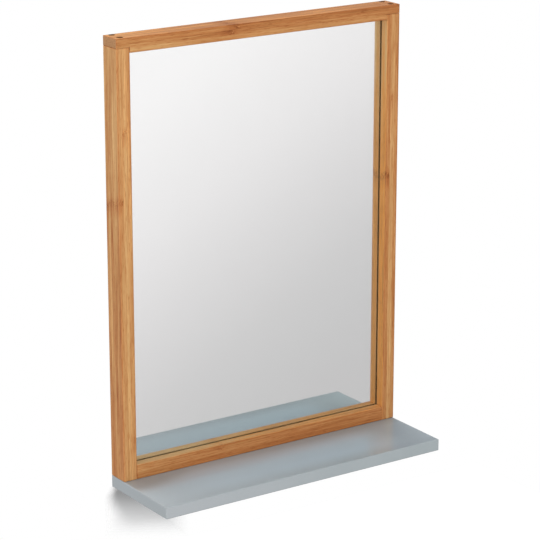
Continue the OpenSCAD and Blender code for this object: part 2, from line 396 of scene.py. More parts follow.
def bamboo(node, along, across, layers_from, layer_w, strips, seed, broad_face_tone_and_light, painted_end_light):
    """Strips lie side by side from layers_from on, in mm along the across axis.

    Each has a tone and a warmth from 0 to 1, the side of its dense outer skin, 0 or 1, and the
    place in mm and the strength of its knuckle. The last argument but one is how much paler and
    warmer broad faces are than narrow edges, partly from the cut of the strip and partly painted
    light for how each face is lit. The last argument is painted light: how much paler each end
    of the bar gets, on narrow edges and on broad faces, and over how many mm.
    """
    f = Finish("bamboo_" + node)
    axes = dict(zip("XYZ", f.place))
    length, height = axes[along], axes[across]
    layer_at = (height - layers_from) / layer_w
    layer = f.math("FLOOR", layer_at)
    shift = layer * LAYER_SHIFT + seed

    def by_layer(values):
        """Picks a value from 0 to 1 by the layer's number."""
        steps = [(i / len(values), [value] * 3) for i, value in enumerate(values)]
        return f.ramp((layer + 0.5) / len(values), steps, "CONSTANT")

    def lumps(width, length_mm, moved=0, detail=2, roughness=0.5):
        """Noise in lumps of that size along the grain, other ones in every strip."""
        return f.noise(f.grain(width, length_mm, along, shift + moved), detail, roughness)

    tones, warmths, skins, places, strengths = zip(*strips)
    depth = layer_at - layer
    to_edge = f.math("MINIMUM", depth, 1 - depth) * layer_w
    broad = f.looks_along(across, 0.75, 0.95)
    low, high = ((corner / MM)["XYZ".index(along)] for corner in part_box(node))
    # Painted light: each end of the bar is made paler, and darker where a number is below zero.
    end_light = 0.0
    for from_end, (on_edge, on_broad, reach) in zip((length - low, high - length), painted_end_light):
        end_light = (1 - f.rise(from_end, 0, reach)) * (on_edge + broad * (on_broad - on_edge)) + end_light
    parts = {
        "skin": 1 - f.rise(f.math("ABSOLUTE", depth - by_layer(skins)), 0.0, 0.55),
        "glue": 1 - f.rise(to_edge, 0.0, GLUE_LINE),
        "cloud": lumps(7, 120) - 0.5,
        "streak": lumps(1.5, 90, detail=3, roughness=0.6) - 0.5,
        "fibre": lumps(0.5, 30) - 0.5,
        "warm_streak": lumps(2.1, 60, 2) - 0.5,
        "dash": f.rise(lumps(0.75, 11, 4), 0.55, 0.66),
        "gold": f.rise(lumps(0.7, 32, 9), 0.57, 0.68),
        "vessel": 1 - f.rise(f.cells(f.grain(0.95, 70, along, shift)), 0.16, 0.34),
        "band": (lumps(4.5, 110, 6) - 0.5) * broad,
        # Painted highlight: the arrises are warmer in colour, and very slightly darker.
        "edge": f.arris(node, 0.5, 1.6),
        "end_light": end_light,
    }

    knuckle_at = by_layer([at / PLACE_RANGE + 0.5 for at in places]) * PLACE_RANGE - PLACE_RANGE / 2
    dark, warm = knuckle(f, lumps, length - knuckle_at)
    strength = by_layer(strengths)
    # Broad faces are paler and warmer, partly from the cut of the strip and partly as painted light.
    tone = by_layer(tones) + weighed(parts, DARKENS) + dark * strength - broad * broad_face_tone_and_light[0]
    warmth = by_layer(warmths) + weighed(parts, WARMS) + warm * strength + broad * broad_face_tone_and_light[1]
    side_colour = f.mix(warmth, f.ramp(tone, YELLOW_TONES), f.ramp(tone, RED_TONES))

    end_share = f.looks_along(along, 0.8, 0.93)
    end_vessels = 1 - f.rise(f.cells(f.grain(0.75, 70, along, shift)), 0.18, 0.42)
    end_tone = end_vessels * 0.6 + (f.noise(f.grain(1.8), 3) - 0.5) * 2.2 + parts["glue"] * 0.3 + 0.1
    end_colour = f.mix(end_tone, END_GRAIN, END_VESSEL)

    # Painted shade in the holes of the top rail: a dark colour, and more roughness.
    hole_shade = painted_hole_shade(f) if node == "top_rail" else 0.0
    # The groove's pale colour is partly painted light.
    colour = f.mix(painted_groove_light(f), f.mix(end_share, side_colour, end_colour), GROOVE_LIGHT)
    roughness = 0.44 + parts["fibre"] * 0.16 + end_share * 0.15 - parts["edge"] * 0.06 + hole_shade
    sockets = {"Specular IOR Level": 0.2, "Normal": f.bump(weighed(parts, RAISES), 0.05)}
    return f.surface(f.mix(hole_shade, colour, HOLE_SHADE), roughness, sockets)


# %% Finish the four bars
# The numbers for broad faces are partly painted light, and those for the ends are painted light, set
# bar by bar for how each face and end is lit.
BARS = {
    "top_rail": dict(
        along="X", across="Z", layers_from=67, layer_w=6.1, seed=3,
        broad_face_tone_and_light=(0.39, 0.38), painted_end_light=((0.08, 0.10, 150), (0.0, -0.08, 150)),
        strips=((0.41, 0.48, 0, 150, 0.0), (0.57, 0.64, 1, -41, 1.0), (0.61, 0.82, 1, -39, 1.0))),
    "bottom_rail": dict(
        along="X", across="Z", layers_from=-450, layer_w=6, seed=11,
        broad_face_tone_and_light=(0.54, -0.22), painted_end_light=((0.10, 0.24, 220), (0.03, 0.0, 150)),
        strips=((0.62, 1.00, 0, 60, 0.0), (0.54, 0.95, 0, 190, 0.0), (0.49, 0.90, 1, -60, 0.5))),
    "left_stile": dict(
        along="Z", across="X", layers_from=-200, layer_w=6, seed=7,
        broad_face_tone_and_light=(0.05, -0.12), painted_end_light=((-0.02, -0.10, 250), (-0.05, 0.05, 250)),
        strips=((0.32, 0.40, 0, -106, 0.7), (0.26, 0.17, 0, -24, 0.9), (0.31, 0.50, 1, -400, 0.5))),
    "right_stile": dict(
        along="Z", across="X", layers_from=182, layer_w=6, seed=19,
        broad_face_tone_and_light=(0.52, 0.50), painted_end_light=((0.0, 0.08, 250), (-0.03, 0.28, 240)),
        strips=((0.48, 0.66, 1, -129, 1.5), (0.28, 0.14, 1, -27, 0.5), (0.46, 0.66, 1, 200, 0.0))),
}
for node, habits in BARS.items():
    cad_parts[node].material_slots[0].material = bamboo(node, **habits)

# %% [markdown]
# ## Painted shelf board
# The shelf is a fibreboard with a sprayed blue-grey paint. Spray leaves a fine ripple. Light and
# shade are also painted into its colour: the eased edges are painted darker, the paint is paler
# towards the left, further on top than in front, the open part of the top has a painted pale sheen,
# the top is painted darker at the frame's foot and a little towards the front, and the sawn ends are
# darker, partly from the paint they drink and partly as painted shade. The paint is satin, so it
# also mirrors the frame as a soft warm band: that comes from its roughness and isn't painted on.

# %% Finish the shelf board
PAINT = (0.378, 0.424, 0.440)
PAINT_DEEP = (0.362, 0.408, 0.424)
PAINT_LIT_LEFT = (0.435, 0.462, 0.484)
PAINT_EDGE_SHADE = (0.33, 0.365, 0.38)
PAINT_SAWN_AND_SHADED = (0.352, 0.385, 0.406)
PAINTED_SHEEN = (0.60, 0.74, 0.85)
TOP_DARKENING = (0.20, 0.21, 0.19)

# Along the shelf, in mm from its middle: where a change starts and where it is complete
LIT_LEFT_SPAN = (-260, 180)
LIT_LEFT_WANDERS = 120
LIT_FURTHER_ON_TOP = 110
LEFT_END = (90, 190)
RIGHT_END = (110, 170)
SHEEN_STRONGER = (-100, 80)
# Across the shelf, in mm in front of the frame
FOOT_SHADE_SPAN = (-4, 22)
FOOT_SHADE_FURTHER_LEFT = 21
SHEEN_BACK = (8, 32)
SHEEN_FRONT = (62, 95)
FRONT_DARKENING_SPAN = (72, 95)


def shelf_paint():
    f = Finish("shelf_paint")
    ripple = f.noise(f.grain(1.6), 2)
    drift = f.noise(f.grain(38), 3, 0.6)
    speck = 1 - f.rise(f.cells(f.grain(6.5)), 0.03, 0.05)
    # Painted shade: the eased edges are painted darker, in patches, so that they catch less light.
    thin = f.arris("shelf_board", 0.7, 1.5) * f.rise(f.noise(f.grain(9), 3), 0.2, 0.5)
    up = f.rise(f.facing["Z"], 0.5, 0.9)
    # Painted light: the paint is paler towards the left end, and further along on top than in front.
    lit_left = 1 - f.rise(f.x + (drift - 0.5) * LIT_LEFT_WANDERS - up * LIT_FURTHER_ON_TOP, *LIT_LEFT_SPAN)
    colour = f.mix(f.rise(drift, 0.3, 0.7), PAINT, PAINT_DEEP)
    colour = f.mix(lit_left, colour, PAINT_LIT_LEFT)

    left_end = f.rise(0 - f.x, *LEFT_END)
    open_part = (1 - left_end) * (1 - f.rise(f.x, *RIGHT_END))
    from_frame = 0 - f.y - BAR_DEPTH
    # Painted sheen: a pale blue-grey band across the open part of the top, stronger to the right.
    sheen_band = f.rise(from_frame, *SHEEN_BACK) * (1 - f.rise(from_frame, *SHEEN_FRONT))
    sheen = sheen_band * open_part * (0.22 + f.rise(f.x, *SHEEN_STRONGER) * 0.13)
    colour = f.mix(sheen * up, colour, PAINTED_SHEEN)
    # Painted shade: the top is darker at the frame's foot, reaching further out near the left end,
    # and a little darker towards the front edge.
    foot_shade = 1 - f.rise(from_frame - left_end * FOOT_SHADE_FURTHER_LEFT, *FOOT_SHADE_SPAN)
    dust_and_shade = foot_shade * (0.34 + left_end * 0.10) + f.rise(from_frame, *FRONT_DARKENING_SPAN) * 0.09
    colour = f.mix(dust_and_shade * up, colour, TOP_DARKENING)
    # The sawn ends are darker, partly from the paint they drink and partly as painted shade.
    colour = f.mix(f.looks_along("X", 0.8, 0.95), colour, PAINT_SAWN_AND_SHADED)
    colour = f.mix(thin * 0.8, colour, PAINT_EDGE_SHADE)
    roughness = 0.22 + (drift - 0.5) * 0.08 + speck * 0.15
    return f.surface(colour, roughness, {"Normal": f.bump(ripple + speck * 0.6, 0.012)})


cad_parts["shelf_board"].material_slots[0].material = shelf_paint()

# %% [markdown]
# ## Making pieces
# Some packed pieces are plain where the real ones have detail: a screw without its thread, a pane
# without its silver. Those are built anew, in the space of the packed piece, and take its place.

# %% Put a new piece in the place of a packed one
def take_place(piece, node):
    """Shows piece instead of the packed node, and prints how far it reaches outside it."""
    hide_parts(node)
    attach(piece, "root")
    low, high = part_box(node)
    out = max(max(low[i] - c[i], c[i] - high[i]) for c in piece.bound_box for i in range(3))
    print(f"{piece.name}: {len(piece.data.polygons)} faces, {max(out, 0) / MM:.2f} mm outside {node}")


FLAT_BEND = math.radians(12)


def from_bmesh(name, work, finish):
    """Makes an object with one finish of a working mesh, smooth only across slight bends."""
    mesh = bpy.data.meshes.new(name)
    work.to_mesh(mesh)
    work.free()
    mesh.shade_smooth()
    mesh.set_sharp_from_angle(angle=FLAT_BEND)
    mesh.materials.append(finish)
    return add_object(name, mesh)


def bevel(work, edges, width, steps):
    """Rounds edges of a working mesh."""
    bmesh.ops.bevel(work, geom=edges, offset=width, segments=steps, profile=0.5, affect="EDGES")


def eased_slab(name, low, high, ease, finish, steps=2):
    """A block between two corners with eased edges."""
    work = bmesh.new()
    bmesh.ops.create_cube(work, size=1)
    middle, size = (low + high) / 2, high - low
    for vertex in work.verts:
        vertex.co = middle + Vector(c * s for c, s in zip(vertex.co, size))
    bevel(work, work.edges[:], ease, steps)
    return from_bmesh(name, work, finish)


# %% [markdown]
# ## The mirror pane
# A mirror is clear float glass with silver and then paint on its back. The silver lies three
# millimetres behind the front, so a dark line stays between the frame and its reflection: the inside
# of the groove, seen through the glass. One shiny sheet has no such line, so glass, silver and paint
# are three pieces here, with a hair of air between them so that no faces coincide.

# %% Finishes of the pane
GLASS_TINT = (0.992, 0.999, 0.996)
SILVER_TONES = ((0.870, 0.904, 0.904), (0.863, 0.897, 0.897))
BACK_PAINT_TONES = ((0.16, 0.19, 0.17), (0.22, 0.25, 0.22))


def clear_glass():
    f = Finish("clear_glass")
    return f.surface(GLASS_TINT, 0.0, {"IOR": 1.52, "Transmission Weight": 1.0})


def silver_layer():
    f = Finish("silver_layer")
    cloud = f.noise(f.grain(60), 2)
    return f.surface(f.mix(cloud, *SILVER_TONES), 0.0, {"Metallic": 1.0})


def backing_paint():
    f = Finish("backing_paint")
    streak = f.noise(f.grain(2.5, 60, "Z"), 3)
    colour = f.mix(streak, *BACK_PAINT_TONES)
    return f.surface(colour, 0.55 + (streak - 0.5) * 0.2, {"Normal": f.bump(streak, 0.02)})


# %% Build glass, silver and paint in the space of the packed pane
SILVER_T = 0.03 * MM
PAINT_T = 0.06 * MM
AIR = 0.03 * MM
GROUND_EDGE = 0.5 * MM
GLASS_SETBACK = 0.01 * MM
SHEET_EASE = 0.3

pane_low, pane_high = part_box("mirror_pane")
glass_back = pane_high.y - PAINT_T - SILVER_T - 2 * AIR
silver_back = glass_back + AIR + SILVER_T
inset = Vector((GROUND_EDGE, 0, GROUND_EDGE))


def pane_layer(name, front, back, finish):
    """A thin sheet behind the glass, inside its ground edge."""
    low = Vector((pane_low.x, front, pane_low.z)) + inset
    high = Vector((pane_high.x, back, pane_high.z)) - inset
    return eased_slab(name, low, high, (back - front) * SHEET_EASE, finish, steps=1)


glass_low = pane_low + Vector((0, GLASS_SETBACK, 0))
glass_high = Vector((pane_high.x, glass_back, pane_high.z))
glass = eased_slab("mirror_glass", glass_low, glass_high, GROUND_EDGE, clear_glass())
silvering = pane_layer("mirror_silvering", glass_back + AIR, silver_back, silver_layer())
back_paint = pane_layer("mirror_back_paint", silver_back + AIR, pane_high.y, backing_paint())
for piece in (glass, silvering, back_paint):
    take_place(piece, "mirror_pane")

# %% [markdown]
# ## The backing board
# Hardboard is pressed from wood fibres, smooth on one side and marked by a wire screen on the other.
# The screen side faces the wall. The mesh of wires is regular, so two waves make it, and flakes of
# fibre in three tones lie across it.

# %% Finish and build the backing board
SCREEN_PITCH = 1.25
BOARD_TONES = ((0.15, 0.075, 0.035), (0.31, 0.18, 0.095))
BOARD_FIBRE = (0.42, 0.28, 0.16)
BOARD_HOLLOW_SHADE = (0.11, 0.055, 0.028)
BOARD_EDGE = 0.35 * MM


def hardboard():
    f = Finish("hardboard")
    turn = 2 * math.pi / SCREEN_PITCH
    waves = [f.math("SINE", place * turn) for place in (f.x + f.z, f.x - f.z)]
    screen = (waves[0] * waves[1] * 0.5 + 0.5) * f.rise(f.facing["Y"], 0.5, 0.9)
    flakes = f.noise(f.grain(1.1), 4, 0.65)
    fibres = f.rise(f.noise(f.grain(0.7, 4, "X"), 3), 0.5, 0.7)
    colour = f.mix(fibres * 0.35, f.mix(flakes, *BOARD_TONES), BOARD_FIBRE)
    # Painted shade: the hollows of the screen pattern are darker.
    colour = f.mix(screen * 0.35, colour, BOARD_HOLLOW_SHADE)
    bump = f.bump(flakes * 0.4 - screen, 0.12)
    return f.surface(colour, 0.75 + (flakes - 0.5) * 0.2, {"Normal": bump})


board_low, board_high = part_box("backing_board")
board = eased_slab("backing_hardboard", board_low, board_high, BOARD_EDGE, hardboard())
take_place(board, "backing_board")

# %% [markdown]
# ## Geometry Nodes for what repeats
# Screws, dowels, tapes and pads come in numbers and follow a rule. Each kind gets a tree with named
# sizes. It makes one at the origin, sets a copy on each point of a small guide mesh, makes the copies
# real and gives them their material. The result is frozen into a plain mesh.

# %% Start a tree, end it, and freeze what it makes
CURVED_BEND = math.radians(35)
# A Random Value node takes its limits and its seed at these numbers, and gives its number at 1.
LEAST, MOST, SEED, CHANCE = 2, 3, 8, 1
TURN_SEED = 5


def new_tree(title, sizes):
    """A geometry tree with named inputs: the tree as a Graph, and its inputs as wires."""
    tree = bpy.data.node_groups.new(title, "GeometryNodeTree")
    tree.interface.new_socket("Places", in_out="INPUT", socket_type="NodeSocketGeometry")
    for label, size in sizes.items():
        kind = "NodeSocketVector" if isinstance(size, tuple) else "NodeSocketFloat"
        tree.interface.new_socket(label, in_out="INPUT", socket_type=kind).default_value = size
    tree.interface.new_socket("Pieces", in_out="OUTPUT", socket_type="NodeSocketGeometry")
    g = Graph(tree)
    return g, g.node("NodeGroupInput")


def end_tree(g, given, one, finish, turned=False):
    """Sets one on every place, its Z along Direction and its turn by chance if asked."""
    inputs = {"Vector": given["Direction"]}
    aim = g.node("FunctionNodeAlignRotationToVector", inputs, {"axis": "Z"})[0]
    if turned:
        limits = {LEAST: 0.0, MOST: math.pi / 2, SEED: TURN_SEED}
        angle = g.node("FunctionNodeRandomValue", limits, {"data_type": "FLOAT"})[CHANCE]
        spin = g.node("FunctionNodeAxisAngleToRotation", {"Axis": (0, 0, 1), "Angle": angle})[0]
        inputs = {"Rotation": aim, "Rotate By": spin}
        aim = g.node("FunctionNodeRotateRotation", inputs, {"rotation_space": "LOCAL"})[0]
    inputs = {"Points": given["Places"], "Instance": one, "Rotation": aim}
    copies = g.node("GeometryNodeInstanceOnPoints", inputs)[0]
    real = g.node("GeometryNodeRealizeInstances", {0: copies})[0]
    done = g.node("GeometryNodeSetMaterial", {"Geometry": real, "Material": finish})[0]
    g.node("NodeGroupOutput", {0: done})
    return g.tree


def freeze(name, tree, places, sizes):
    """Runs a tree on guide points and keeps the result as a plain mesh."""
    guide = bpy.data.meshes.new(name + "_guide")
    guide.from_pydata([tuple(place) for place in places], [], [])
    made = add_object(name, guide)
    modifier = made.modifiers.new(tree.name, "NODES")
    modifier.node_group = tree
    for item in tree.interface.items_tree:
        if item.in_out == "INPUT" and item.name in sizes:
            modifier[item.identifier] = sizes[item.name]
    ready = made.evaluated_get(bpy.context.evaluated_depsgraph_get())
    mesh = bpy.data.meshes.new_from_object(ready)
    made.modifiers.remove(modifier)
    made.data = mesh
    mesh.shade_smooth()
    mesh.set_sharp_from_angle(angle=CURVED_BEND)
    return made


# %% [markdown]
# ## Turned pieces
# A screw and a dowel are both turned: a sheet of points is wrapped round an axis, row by row from
# the top. A formula gives each row its height and radius, and because it also knows how far round
# a point is, the same sheet can carry a thread or flutes. Rows that shrink to nothing close the ends.

# %% Wrap a sheet round an axis
WELD = 0.004 * MM


def turned(g, rows, around, shape):
    """A closed skin round Z. shape gives a height and a radius for a row and a share of a turn."""
    sheet = g.node("GeometryNodeMeshGrid", {"Vertices X": rows, "Vertices Y": around + 1})["Mesh"]
    index = g.node("GeometryNodeInputIndex")[0]
    row = g.math("FLOOR", (index + 0.5) / (around + 1))
    share = (index - row * (around + 1)) / around
    height, radius = shape(row, share)
    angle = share * (2 * math.pi)
    place = g.point(radius * g.math("COSINE", angle), radius * g.math("SINE", angle), height)
    wrapped = g.node("GeometryNodeSetPosition", {"Geometry": sheet, "Position": place})[0]
    return g.node("GeometryNodeMergeByDistance", {"Geometry": wrapped, "Distance": WELD})[0]


def pick(g, row, values):
    """The value of that row, from a short list of numbers and wires."""
    def add_choices(made):
        while len(made.index_switch_items) < len(values):
            made.index_switch_items.new()
    inputs = dict(enumerate([row, *values]))
    return g.node("GeometryNodeIndexSwitch", inputs, {"data_type": "FLOAT"}, add_choices)[0]


# %% [markdown]
# ## Wood screws
# The frame is held by zinc plated wood screws: pan heads in the top rail, countersunk heads in the
# shelf and the hanger plates. Each has a smooth neck, a steep thread that fades in below it, a
# pointed tip and a cross recess. The thread is a ridge that drops one pitch a turn.

# %% A tree for wood screws
ROWS_A_TURN = 6
SCREW_SIDES = 20
NECK_TO_CORE = 1.18
RIDGE_HALF = 0.3
TIP_TO_RADIUS = 2.4
CORE_SHARE = 0.68
PITCH_SHARE = 0.9
NECK_SHARE = 0.28
UP, DOWN, BACK = Vector((0, 0, 1)), Vector((0, 0, -1)), Vector((0, 1, 0))
# Radius of the thread, radius of the head, and height of the head above its seat
PAN = (2.0 * MM, 3.6 * MM, 2.6 * MM)
BIG = (2.0 * MM, 3.6 * MM, 0.0)
SMALL = (1.5 * MM, 2.8 * MM, 0.0)
PAN_HEAD = [(1, 0), (1, 0.5), (0.94, 0.72), (0.76, 0.9), (0.4, 1), (0.08, 1), (0, 0.95)]
SUNK_HEAD = [(0, 0), (0, 0.93), (-0.04, 0.985), (-0.10, 1), (-0.14, 0.98)]


def screw_sizes(direction, length, kind):
    """The named sizes of a screw, whose core, pitch and neck follow from its radius and length."""
    radius, head, head_height = kind
    return {
        "Direction": tuple(direction), "Length": length, "Neck": length * NECK_SHARE,
        "Thread radius": radius, "Core radius": radius * CORE_SHARE, "Pitch": radius * PITCH_SHARE,
        "Head radius": head, "Head height": head_height,
    }


def screw_tree(title, rings, sunk, finish):
    """Rings are heights and radii down the head, as shares of its height and radius. The heights
    of a sunk head are shares of its radius too."""
    g, given = new_tree(title, screw_sizes(UP, 40 * MM, PAN))
    head_r, neck_r = given["Head radius"], given["Core radius"] * NECK_TO_CORE
    scale = head_r if sunk else given["Head height"]
    seat = neck_r - head_r if sunk else 0.0
    heights = [scale * height for height, _ in rings] + [seat]
    radii = [head_r * radius for _, radius in rings] + [neck_r]
    head_rows = len(heights)

    def shape(row, share):
        below_head = (row - head_rows) / ROWS_A_TURN
        turns = g.math("MAXIMUM", below_head + share - 1, 0.0)
        reach = given["Length"] + seat
        depth = g.math("MINIMUM", turns * given["Pitch"], reach)
        phase = below_head % 1
        ridge = g.math("MAXIMUM", 1 - g.math("ABSOLUTE", phase - 0.5) / RIDGE_HALF, 0.0)
        threaded = g.rise(depth, given["Neck"], given["Neck"] + given["Pitch"])
        core = neck_r + (given["Core radius"] - neck_r) * threaded
        tip = g.math("MINIMUM", (reach - depth) / (given["Thread radius"] * TIP_TO_RADIUS), 1.0)
        shank_r = (core + (given["Thread radius"] - given["Core radius"]) * ridge * threaded) * tip
        on_head = row < head_rows - 0.5
        height = pick(g, row, heights) * on_head + (seat - depth) * (1 - on_head)
        radius = pick(g, row, radii) * on_head + shank_r * (1 - on_head)
        return height, radius

    rows = head_rows + ROWS_A_TURN * (given["Length"] / given["Pitch"] + 2)
    body = turned(g, rows, SCREW_SIDES, shape)
    top = 0.0 if sunk else given["Head height"]
    one = cut_recess(g, body, top, head_r)
    return end_tree(g, given, one, finish, turned=True)


# %% The cross recess
# Shares of the head's radius, and how far an arm's upper and lower width are from their mean
RECESS_LONG = 1.1
RECESS_WIDE = 0.26
RECESS_HIGH = 1.2
RECESS_TAPER = 0.22


def cut_recess(g, body, top, head_r):
    """Cuts a tapered cross into the head."""
    x, y, z = g.axes(g.node("GeometryNodeInputPosition")[0])
    arms = []
    for along_x, along_y in ((RECESS_LONG, RECESS_WIDE), (RECESS_WIDE, RECESS_LONG)):
        block = g.point(head_r * along_x, head_r * along_y, head_r * RECESS_HIGH)
        arm = g.node("GeometryNodeMeshCube", {"Size": block})["Mesh"]
        slim = (1 - RECESS_TAPER) + RECESS_TAPER * g.math("SIGN", z)
        tapered = g.point(x * slim, y * slim, z + top)
        arms.append(g.node("GeometryNodeSetPosition", {"Geometry": arm, "Position": tapered})[0])
    settings = {"operation": "DIFFERENCE", "solver": "EXACT"}
    return g.node("GeometryNodeMeshBoolean", {"Mesh 1": body, "Mesh 2": arms}, settings)[0]


# %% Zinc plate
ZINC_TONES = ((0.66, 0.67, 0.67), (0.63, 0.60, 0.50))
ZINC_STAIN = (0.34, 0.32, 0.29)


def zinc_plate(name, brushed_along=None):
    """Bright zinc with a faint yellow bloom. A plate is brushed along one axis."""
    f = Finish(name)
    bloom = f.rise(f.noise(f.grain(5), 3, 0.6), 0.35, 0.7)
    spangle = f.noise(f.grain(0.6), 2)
    if brushed_along:
        spangle = f.noise(f.grain(0.22, 14, brushed_along), 3, 0.6)
    stain = f.rise(f.noise(f.grain(2.2), 4, 0.7), 0.62, 0.8)
    colour = f.mix(stain * 0.4, f.mix(bloom, *ZINC_TONES), ZINC_STAIN)
    roughness = 0.28 + (spangle - 0.5) * 0.2 + stain * 0.2
    return f.surface(colour, roughness, {"Metallic": 1.0, "Normal": f.bump(spangle, 0.015)})


screw_zinc = zinc_plate("screw_zinc")
pan_screws = screw_tree("pan head wood screws", PAN_HEAD, False, screw_zinc)
sunk_screws = screw_tree("countersunk wood screws", SUNK_HEAD, True, screw_zinc)

# %% Drive the screws of the frame, the shelf and the hangers
def drive_screws(node, tree, direction, row_axis, length, kind):
    """Screws at both ends of a packed group, with their heads towards direction."""
    head, head_height = kind[1:]
    low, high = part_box(node)
    half = (high - low) / 2
    seat = (low + high) / 2 + direction * (abs(half.dot(direction)) - head_height)
    step = Vector(1.0 if axis == row_axis else 0.0 for axis in "XYZ")
    reach = half.dot(step) - head
    places = [seat - step * reach, seat + step * reach] if reach > head else [seat]
    screws = freeze(node + "_threaded", tree, places, screw_sizes(direction, length, kind))
    take_place(screws, node)


for side in ("left", "right"):
    drive_screws(f"{side}_top_screws", pan_screws, UP, "Y", 40 * MM, PAN)
    drive_screws(f"{side}_shelf_screw", sunk_screws, DOWN, "X", 50 * MM, BIG)
    drive_screws(f"{side}_hanger_screws", sunk_screws, BACK, "Z", 12 * MM, SMALL)
drive_screws("rail_shelf_screws", sunk_screws, DOWN, "X", 28 * MM, BIG)

# %% [markdown]
# ## Fluted dowels
# The bottom rail is doweled to the stiles. A beech dowel has shallow flutes that let the glue rise
# and chamfered ends that find the hole. It is turned like a screw, with waves round its skin.

# %% A tree for dowels, and the four dowels
DOWEL_FLUTES = 18
POINTS_A_FLUTE = 6
DOWEL_SIZES = {
    "Direction": (1.0, 0.0, 0.0), "Length": 24 * MM, "Radius": 3 * MM, "Chamfer": 0.8 * MM,
    "Flute depth": 0.22 * MM,
}
BEECH_TONES = ((0.66, 0.43, 0.25), (0.52, 0.31, 0.17))
BEECH_FLECK = (0.33, 0.17, 0.09)


def dowel_tree(finish):
    g, given = new_tree("fluted dowels", DOWEL_SIZES)
    half, cut = given["Length"] / 2, given["Chamfer"]
    full, end = given["Radius"], given["Radius"] - given["Chamfer"]
    heights = [half, half, half - cut, cut - half, 0 - half, 0 - half]
    radii = [0.0, end, full, full, end, 0.0]

    def shape(row, share):
        wave = 0.5 - 0.5 * g.math("COSINE", share * (2 * math.pi * DOWEL_FLUTES))
        flute = g.math("POWER", wave, 2.0) * given["Flute depth"] / given["Radius"]
        return pick(g, row, heights), pick(g, row, radii) * (1 - flute)

    one = turned(g, len(heights), DOWEL_FLUTES * POINTS_A_FLUTE, shape)
    return end_tree(g, given, one, finish)


def beech():
    f = Finish("beech")
    grain = f.noise(f.grain(0.9, 30, "X"), 3, 0.6)
    fleck = f.rise(f.noise(f.grain(0.3, 1.8, "X"), 1), 0.64, 0.74)
    colour = f.mix(fleck * 0.6, f.mix(grain, *BEECH_TONES), BEECH_FLECK)
    bump = f.bump(grain - fleck * 0.5, 0.04)
    return f.surface(colour, 0.62 + (grain - 0.5) * 0.2, {"Normal": bump})


dowels = dowel_tree(beech())
for node in ("left_rail_dowels", "right_rail_dowels"):
    low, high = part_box(node)
    middle = (low + high) / 2
    radius = (high.z - low.z) / 2
    places = [Vector((middle.x, y, middle.z)) for y in (low.y + radius, high.y - radius)]
    sizes = {"Length": high.x - low.x, "Radius": radius}
    take_place(freeze(node + "_fluted", dowels, places, sizes), node)

# %% [markdown]
# ## Mounting tapes and setting pads
# Three strips of foam tape hold the pane to its board, and two rubber pads carry it in the groove.
# A strip cut from a roll has slightly ragged long edges. A pad has ribs underneath that take up the
# unevenness of the groove. Both are blocks with enough points for a rule to move them inwards.

# %% Trees for tapes and pads
TAPE_POINTS = (5, 2, 120)
PAD_POINTS = (49, 2, 2)
POINTS_A_RIB = 4
RAGGED_LUMP = 4 * MM
EDGES_APART = 7.0


def block_tree(title, sizes, points, rule, finish):
    """A block of the given size whose points a rule may move."""
    g, given = new_tree(title, {"Direction": (0.0, 0.0, 1.0), "Size": (1.0, 1.0, 1.0), **sizes})
    counts = {f"Vertices {axis}": count for axis, count in zip("XYZ", points)}
    block = g.node("GeometryNodeMeshCube", {"Size": given["Size"], **counts})["Mesh"]
    width = g.axes(given["Size"])[0]
    offset = rule(g, given, width, *g.axes(g.node("GeometryNodeInputPosition")[0]))
    one = g.node("GeometryNodeSetPosition", {"Geometry": block, "Offset": offset})[0]
    return end_tree(g, given, one, finish)


def ragged_edge(g, given, width, x, y, z):
    """Pulls the long edges inwards, unevenly and each in its own way."""
    side = g.math("SIGN", x)
    uneven = g.noise(g.point(side * EDGES_APART, 0.0, z / RAGGED_LUMP), 2)
    at_edge = g.math("ABSOLUTE", x) > width * 0.49
    return g.point(0 - side * uneven * at_edge * given["Raggedness"], 0.0, 0.0)


def ribbed_foot(g, given, width, x, y, z):
    """Lifts two of every four rows of points on the underside, so that ribs stay between."""
    column = g.math("ROUND", (x / width + 0.5) * (PAD_POINTS[0] - 1)) % POINTS_A_RIB
    lifted = (column > 0.5) * (column < 2.5)
    return g.point(0.0, 0.0, (z < 0.0) * lifted * given["Rib height"])


# %% Foam and rubber
FOAM_TONES = ((0.80, 0.80, 0.76), (0.72, 0.72, 0.68))
FOAM_PORE_SHADE = (0.52, 0.52, 0.49)
RUBBER_BLACK = (0.022, 0.022, 0.023)
RUBBER_DUST = (0.16, 0.155, 0.145)


def foam():
    f = Finish("closed_cell_foam")
    pores = f.rise(f.cells(f.grain(0.35)), 0.15, 0.45)
    colour = f.mix(f.noise(f.grain(12), 2), *FOAM_TONES)
    # Painted shade: the pores are darker.
    colour = f.mix(pores, FOAM_PORE_SHADE, colour)
    return f.surface(colour, 0.85 - pores * 0.1, {"Normal": f.bump(pores, 0.08)})


def rubber():
    f = Finish("pad_rubber")
    dust_and_shade = f.rise(f.noise(f.grain(0.8), 4, 0.7), 0.55, 0.8)
    bump = f.bump(f.noise(f.grain(0.25), 2), 0.02)
    colour = f.mix(dust_and_shade * 0.35, RUBBER_BLACK, RUBBER_DUST)
    return f.surface(colour, 0.62 + dust_and_shade * 0.2, {"Normal": bump})


# %% Three tapes and two pads
def fill_with_block(node, name, tree):
    """Freezes a block tree at the size and place of a packed piece."""
    low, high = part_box(node)
    block = freeze(name, tree, [(low + high) / 2], {"Size": tuple(high - low)})
    take_place(block, node)


tape_tree = block_tree("foam tape", {"Raggedness": 0.5 * MM}, TAPE_POINTS, ragged_edge, foam())
pad_tree = block_tree("ribbed pad", {"Rib height": 0.35 * MM}, PAD_POINTS, ribbed_foot, rubber())
for side in ("left", "middle", "right"):
    fill_with_block(f"{side}_mounting_tape", f"{side}_foam_tape", tape_tree)
for side in ("left", "right"):
    fill_with_block(f"{side}_setting_pad", f"{side}_rubber_pad", pad_tree)

